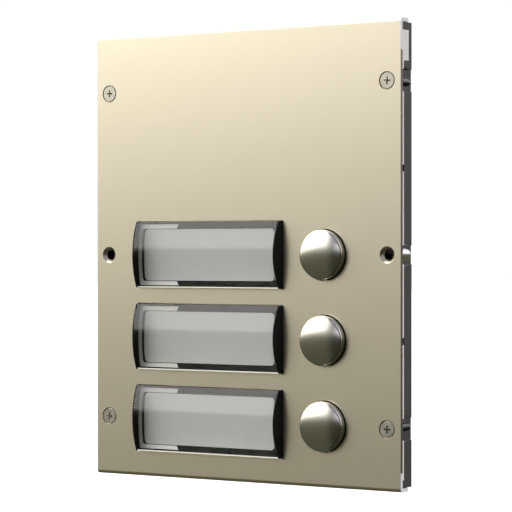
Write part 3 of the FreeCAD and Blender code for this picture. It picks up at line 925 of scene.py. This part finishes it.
def screw_template(name, head, shank, thread, length, recess, material):
    """Screw along +Y. head is a list of (radius, y) points from the axis outwards."""
    shape = bmesh.new()
    core, pitch, point = thread
    segments = 48
    profile = list(head) + [(shank, head[-1][1])]
    lathe(shape, profile, 0.0, 0.0, segments)
    last = [v for v in shape.verts][-segments:]
    start = profile[-1][1]
    rows_up = max(8, int((length - start) / (pitch / 5)))
    previous = last
    for step in range(1, rows_up + 1):
        y = start + (length - start) * step / rows_up
        taper = min(1.0, (length - y) / point + 0.06)
        ring = []
        for i in range(segments):
            a = 2 * math.pi * i / segments
            phase = (y / pitch - i / segments) % 1.0
            ridge = max(0.0, 1 - abs(phase - 0.5) * 3.2)
            r = (core + (shank - core) * ridge) * taper
            ring.append(shape.verts.new((r * math.cos(a), y, r * math.sin(a))))
        for i in range(segments):
            j = (i + 1) % segments
            shape.faces.new((previous[i], previous[j], ring[j], ring[i]))
        previous = ring
    tip = shape.verts.new((0.0, length, 0.0))
    for i in range(segments):
        shape.faces.new((previous[i], previous[(i + 1) % segments], tip))
    screw = piece_from(name, shape, material)
    cross_recess(screw, *recess)
    screw.data.shade_smooth()
    screw.data.set_sharp_from_angle(angle=math.radians(35))
    return screw


# %% [markdown]
# A geometry-node tree puts the copies in place. Its points are the vertices of the modified
# object. Each copy turns about Y by its own share of a full turn, as no two screws stop alike.
# The tree ends in real geometry, and the result is stored as one plain mesh.

# %% Node tree that sets copies on points


def geometry_tree(name, sockets):
    """Empty geometry-node tree with named inputs, each a label and a kind."""
    tree = bpy.data.node_groups.new(name, "GeometryNodeTree")
    for label, kind in [("Geometry", "Geometry")] + sockets + [("Finish", "Material")]:
        tree.interface.new_socket(label, in_out="INPUT", socket_type="NodeSocket" + kind)
    tree.interface.new_socket("Geometry", in_out="OUTPUT", socket_type="NodeSocketGeometry")
    return tree, add(tree, "NodeGroupInput")


def ended(tree, given, geometry):
    """Ends a tree: real geometry, with the finish that was asked for."""
    real = add(tree, "GeometryNodeRealizeInstances")
    link(tree, geometry, real.inputs[0])
    finish = add(tree, "GeometryNodeSetMaterial")
    link(tree, real.outputs[0], finish.inputs["Geometry"])
    link(tree, given.outputs["Finish"], finish.inputs["Material"])
    link(tree, finish.outputs[0], add(tree, "NodeGroupOutput").inputs[0])
    return tree


def build_placer():
    tree, given = geometry_tree("set_on_points", [
        ("Piece", "Object"), ("Turn", "Float"), ("Seed", "Int")])
    source = add(tree, "GeometryNodeObjectInfo")
    link(tree, given.outputs["Piece"], source.inputs["Object"])
    spread = add(tree, "FunctionNodeRandomValue", data_type="FLOAT")
    spread.inputs[2].default_value = -1.0
    link(tree, given.outputs["Seed"], spread.inputs["Seed"])
    turn = add(tree, "ShaderNodeCombineXYZ")
    angle = math_node(tree, "MULTIPLY", spread.outputs[1], given.outputs["Turn"])
    link(tree, angle, turn.inputs["Y"])
    copies = add(tree, "GeometryNodeInstanceOnPoints")
    link(tree, given.outputs["Geometry"], copies.inputs["Points"])
    link(tree, source.outputs["Geometry"], copies.inputs["Instance"])
    link(tree, turn.outputs[0], copies.inputs["Rotation"])
    return ended(tree, given, copies.outputs[0])


placer = build_placer()


def grown(name, tree, places, **values):
    """Runs a geometry-node tree on points and keeps the result as one plain mesh."""
    mesh = bpy.data.meshes.new(name)
    mesh.from_pydata([tuple(place) for place in places], [], [])
    piece = bpy.data.objects.new(name, mesh)
    bpy.context.scene.collection.objects.link(piece)
    modifier = piece.modifiers.new("grown", "NODES")
    modifier.node_group = tree
    for item in tree.interface.items_tree:
        label = item.name.replace(" ", "_")
        if item.item_type == "SOCKET" and item.in_out == "INPUT" and label in values:
            modifier[item.identifier] = values[label]
    return baked(piece)


def set_copies(name, template, places, material, turn=0.0, seed=1):
    """Plain mesh with a copy of the template at each place. The template is used up."""
    piece = grown(name, placer, places, Piece=template, Finish=material,
                  Turn=math.radians(turn), Seed=seed)
    bpy.data.objects.remove(template)
    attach(piece, "panel")
    print(name, "copies", len(places), "faces", len(piece.data.polygons))
    return piece


def solid_centres(node, y):
    """Middle of each separate solid of a CAD node, at depth y."""
    shape = bmesh.new()
    shape.from_mesh(nodes[node].data)
    bmesh.ops.remove_doubles(shape, verts=shape.verts, dist=0.002 * mm)
    left = set(shape.verts)
    centres = []
    while left:
        seed = left.pop()
        island, stack = [seed], [seed]
        while stack:
            for edge in stack.pop().link_edges:
                for vert in edge.verts:
                    if vert in left:
                        left.remove(vert)
                        island.append(vert)
                        stack.append(vert)
        xs = [v.co.x for v in island]
        zs = [v.co.z for v in island]
        centres.append(Vector(((min(xs) + max(xs)) / 2, y, (min(zs) + max(zs)) / 2)))
    shape.free()
    return sorted(centres, key=lambda c: (round(c.z, 5), c.x))


# %% Set the corner screws
screw_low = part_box("corner_screws")[0]
head_r = 2.19 * mm
core_r = 1.1 * mm
edge = 0.13 * mm
head = [(0.0, 0.0), (head_r - edge, 0.0), (head_r, edge), (core_r, head_r - core_r + edge)]
template = screw_template(
    "corner_screw", head, core_r, (0.80 * mm, 0.95 * mm, 2.6 * mm),
    size_of("corner_screws").y - 0.05 * mm, (1.02 * mm, 0.40 * mm, 1.5 * mm),
    finishes["zinc_screw"])
places = solid_centres("corner_screws", screw_low.y)
corner_screws = set_copies("corner_screw_set", template, places, finishes["zinc_screw"], 6.0, 3)
stands_for(corner_screws, "panel", "corner_screws")

# %% Set the cover and board screws


def pan_head(radius, height, shank):
    """Low dome with a rounded edge, the seat at the shank."""
    points = [(0.0, 0.0)]
    for step in (20, 40, 60, 80):
        a = math.radians(step)
        points.append((radius * 0.86 * math.sin(a), height * 0.35 * (1 - math.cos(a))))
    points += [(radius * 0.96, height * 0.52), (radius, height * 0.72), (radius, height * 0.95),
               (radius * 0.97, height), (shank, height)]
    return points


def rear_screws(node, head_radius, shank):
    """Pan screws driven from behind: the template is drawn along +Y, then turned over."""
    low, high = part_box(node)
    height = min(1.45 * mm, 0.4 * (high.y - low.y))
    template = screw_template(
        node + "_one", pan_head(head_radius, height, shank), shank,
        (shank * 0.72, 0.8 * mm, 1.2 * mm), high.y - low.y - 0.03 * mm,
        (0.53 * head_radius, 0.23 * head_radius, 0.42 * head_radius), finishes["zinc_screw"])
    template.data.transform(Matrix.Rotation(math.pi, 4, "X"))
    piece = set_copies(node + "_set", template, solid_centres(node, high.y),
                       finishes["zinc_screw"], 45.0, 7)
    return stands_for(piece, "panel", node)


rear_screws("cover_screws", 2.15 * mm, 1.2 * mm)
rear_screws("board_screws", 2.05 * mm, 1.2 * mm)
clamp_r = size_of("terminal_screws").z / 2
rear_screws("terminal_screws", clamp_r - 0.02 * mm, clamp_r * 0.6)

# %% [markdown]
# ## Return springs
# Each button stands on a coil spring. A node tree winds the wire from four named sizes. The coil rides on the
# panel and keeps its length; the button's travel is read from its joint and printed.

# %% Node tree that winds a coil


def build_coil():
    tree, given = geometry_tree("wind_coil", [
        ("Turns", "Float"), ("Coil Radius", "Float"), ("Wire Radius", "Float"),
        ("Length", "Float"), ("Start", "Vector")])
    helix = add(tree, "GeometryNodeCurveSpiral")
    helix.inputs["Resolution"].default_value = 48
    link(tree, given.outputs["Turns"], helix.inputs["Rotations"])
    link(tree, given.outputs["Coil Radius"], helix.inputs["Start Radius"])
    link(tree, given.outputs["Coil Radius"], helix.inputs["End Radius"])
    link(tree, given.outputs["Length"], helix.inputs["Height"])
    section = add(tree, "GeometryNodeCurvePrimitiveCircle")
    section.inputs["Resolution"].default_value = 14
    link(tree, given.outputs["Wire Radius"], section.inputs["Radius"])
    wire = add(tree, "GeometryNodeCurveToMesh")
    wire.inputs["Fill Caps"].default_value = True
    link(tree, helix.outputs[0], wire.inputs["Curve"])
    link(tree, section.outputs[0], wire.inputs["Profile Curve"])
    laid = add(tree, "GeometryNodeTransform")
    laid.inputs["Rotation"].default_value = (-math.pi / 2, 0, 0)
    link(tree, wire.outputs[0], laid.inputs["Geometry"])
    link(tree, given.outputs["Start"], laid.inputs["Translation"])
    return ended(tree, given, laid.outputs[0])


coil_tree = build_coil()

# %% Wind the springs


def return_spring(row):
    node = "button_spring_" + str(row)
    low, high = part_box(node)
    axis = middle(node)
    wire_r = 0.25 * mm
    joint_name = "button_" + str(row) + "_press"
    joint = [j for j in frame["joints"] if j["name"] == joint_name][0]
    length = high.y - low.y
    travel = joint["range_m"][1]
    piece = grown(node + "_coil", coil_tree, [], Turns=4.5,
                  Coil_Radius=(high.x - low.x) / 2 - wire_r, Wire_Radius=wire_r,
                  Length=length - 2 * wire_r - 0.02 * mm,
                  Start=(axis.x, low.y + wire_r + 0.01 * mm, axis.z),
                  Finish=finishes["spring_steel"])
    piece.data.shade_smooth()
    stands_for(piece, "panel", node)
    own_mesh(piece)
    return piece, travel


for row in rows:
    piece, travel = return_spring(row)
    print(piece.name, "faces", len(piece.data.polygons), "travel", round(travel / mm, 2), "mm")

# %% [markdown]
# ## Floor
# A pale floor, far below. Only the camera sees it, so that the metal keeps the dark lower half
# of the room in its reflections.

# %% Lay the floor


def build_floor():
    drop = 0.30
    half = 20.0
    z = plate_low.z - drop
    mesh = bpy.data.meshes.new("studio_floor")
    mesh.from_pydata([(-half, -half, z), (half, -half, z), (half, half, z), (-half, half, z)],
                     [], [(0, 1, 2, 3)])
    floor = bpy.data.objects.new("studio_floor", mesh)
    bpy.context.scene.collection.objects.link(floor)
    mesh.materials.append(moulded("pale_floor", (0.86, 0.86, 0.86), 0.8, grain_scale=4.0,
                                  depth=0.0, spread=0.01)[0])
    floor.visible_glossy = False
    floor.visible_diffuse = False


build_floor()

# %% [markdown]
# ## Rear cover
# A moulded cover is thin, so it has low borders round its edge and its two openings that keep
# it flat. Each is a rounded frame that stands on the cover's rear face, below the screw heads.

# %% Raise the borders of the rear cover


def border_frame(name, low_x, high_x, low_z, high_z, width, y, height):
    """Rectangular frame outside the given opening, standing on the plane y."""
    shape = bmesh.new()
    loops = []
    for grow, level in ((0.0, y), (0.0, y + height), (width, y + height), (width, y)):
        loops.append([
            shape.verts.new((px, level, pz))
            for px, pz in ((low_x - grow, low_z - grow), (high_x + grow, low_z - grow),
                           (high_x + grow, high_z + grow), (low_x - grow, high_z + grow))
        ])
    for k in range(4):
        first, second = loops[k], loops[(k + 1) % 4]
        for i in range(4):
            j = (i + 1) % 4
            shape.faces.new((first[i], first[j], second[j], second[i]))
    piece = piece_from(name, shape, finishes["dark_grey_plastic"], 180.0)
    rounded(piece, height * 0.35, 3)
    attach(piece, "panel")
    return piece


def opening_in_cover(low_z, high_z):
    """Corners of the hole in the rear cover between two heights, from the cover's mesh."""
    inside = [v.co for v in nodes["rear_cover"].data.vertices
              if low_z < v.co.z < high_z and abs(v.co.x) < cover_high.x - 12 * mm
              and v.co.y > cover_high.y - 0.01 * mm]
    xs = [p.x for p in inside]
    zs = [p.z for p in inside]
    return min(xs), max(xs), min(zs), max(zs)


cover_low, cover_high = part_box("rear_cover")
border_w = 1.2 * mm
border_h = 0.5 * mm
edge_in = 1.6 * mm
border_frame("cover_rim", cover_low.x + edge_in, cover_high.x - edge_in, cover_low.z + edge_in,
             cover_high.z - edge_in, border_w, cover_high.y - 0.02 * mm, border_h)
border_gap = 0.8 * mm
for name, limits in (("link_border", (0.0, cover_high.z - 12 * mm)),
                     ("terminal_border", (cover_low.z + 12 * mm, 0.0))):
    low_x, high_x, low_z, high_z = opening_in_cover(*limits)
    border_frame(name, low_x - border_gap, high_x + border_gap, low_z - border_gap,
                 high_z + border_gap, border_w, cover_high.y - 0.02 * mm, border_h)
    print(name, "round a hole", round((high_x - low_x) / mm, 1), "by",
          round((high_z - low_z) / mm, 1), "mm")

# %% [markdown]
# ## Rear openings
# Through the two openings the board shows its solder joints: a row under the terminals and two
# rows at the link header. One joint is turned on the lathe and set on every point.

# %% Set the solder joints


def solder_joints():
    """Small cones of solder on the board's rear face, inside the two openings."""
    board_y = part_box("circuit_board")[1].y
    shape = bmesh.new()
    profile = [(0.0, 0.0), (0.75 * mm, 0.0), (0.72 * mm, 0.06 * mm)]
    profile += [(0.30 * mm, 0.42 * mm), (0.26 * mm, 0.62 * mm), (0.0, 0.66 * mm)]
    lathe(shape, profile, 0.0, 0.0, 20)
    template = piece_from("one_joint", shape, finishes["zinc_screw"], 50.0)
    clamps = solid_centres("terminal_screws", board_y)
    low_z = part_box("terminal_block")[0].z
    places = []
    for place in clamps:
        for drop in (2.0 * mm, 4.4 * mm):
            places.append(Vector((place.x, board_y - 0.02 * mm, low_z - drop)))
    for side in (-1, 1):
        for k in range(3):
            x = side * (size_of("link_header").x / 2 + 1.4 * mm)
            z = middle("link_header").z + (k - 1) * 2.54 * mm
            places.append(Vector((x, board_y - 0.02 * mm, z)))
    piece = set_copies("solder_joints", template, places, finishes["zinc_screw"], 30.0, 5)
    return piece


solder_joints()
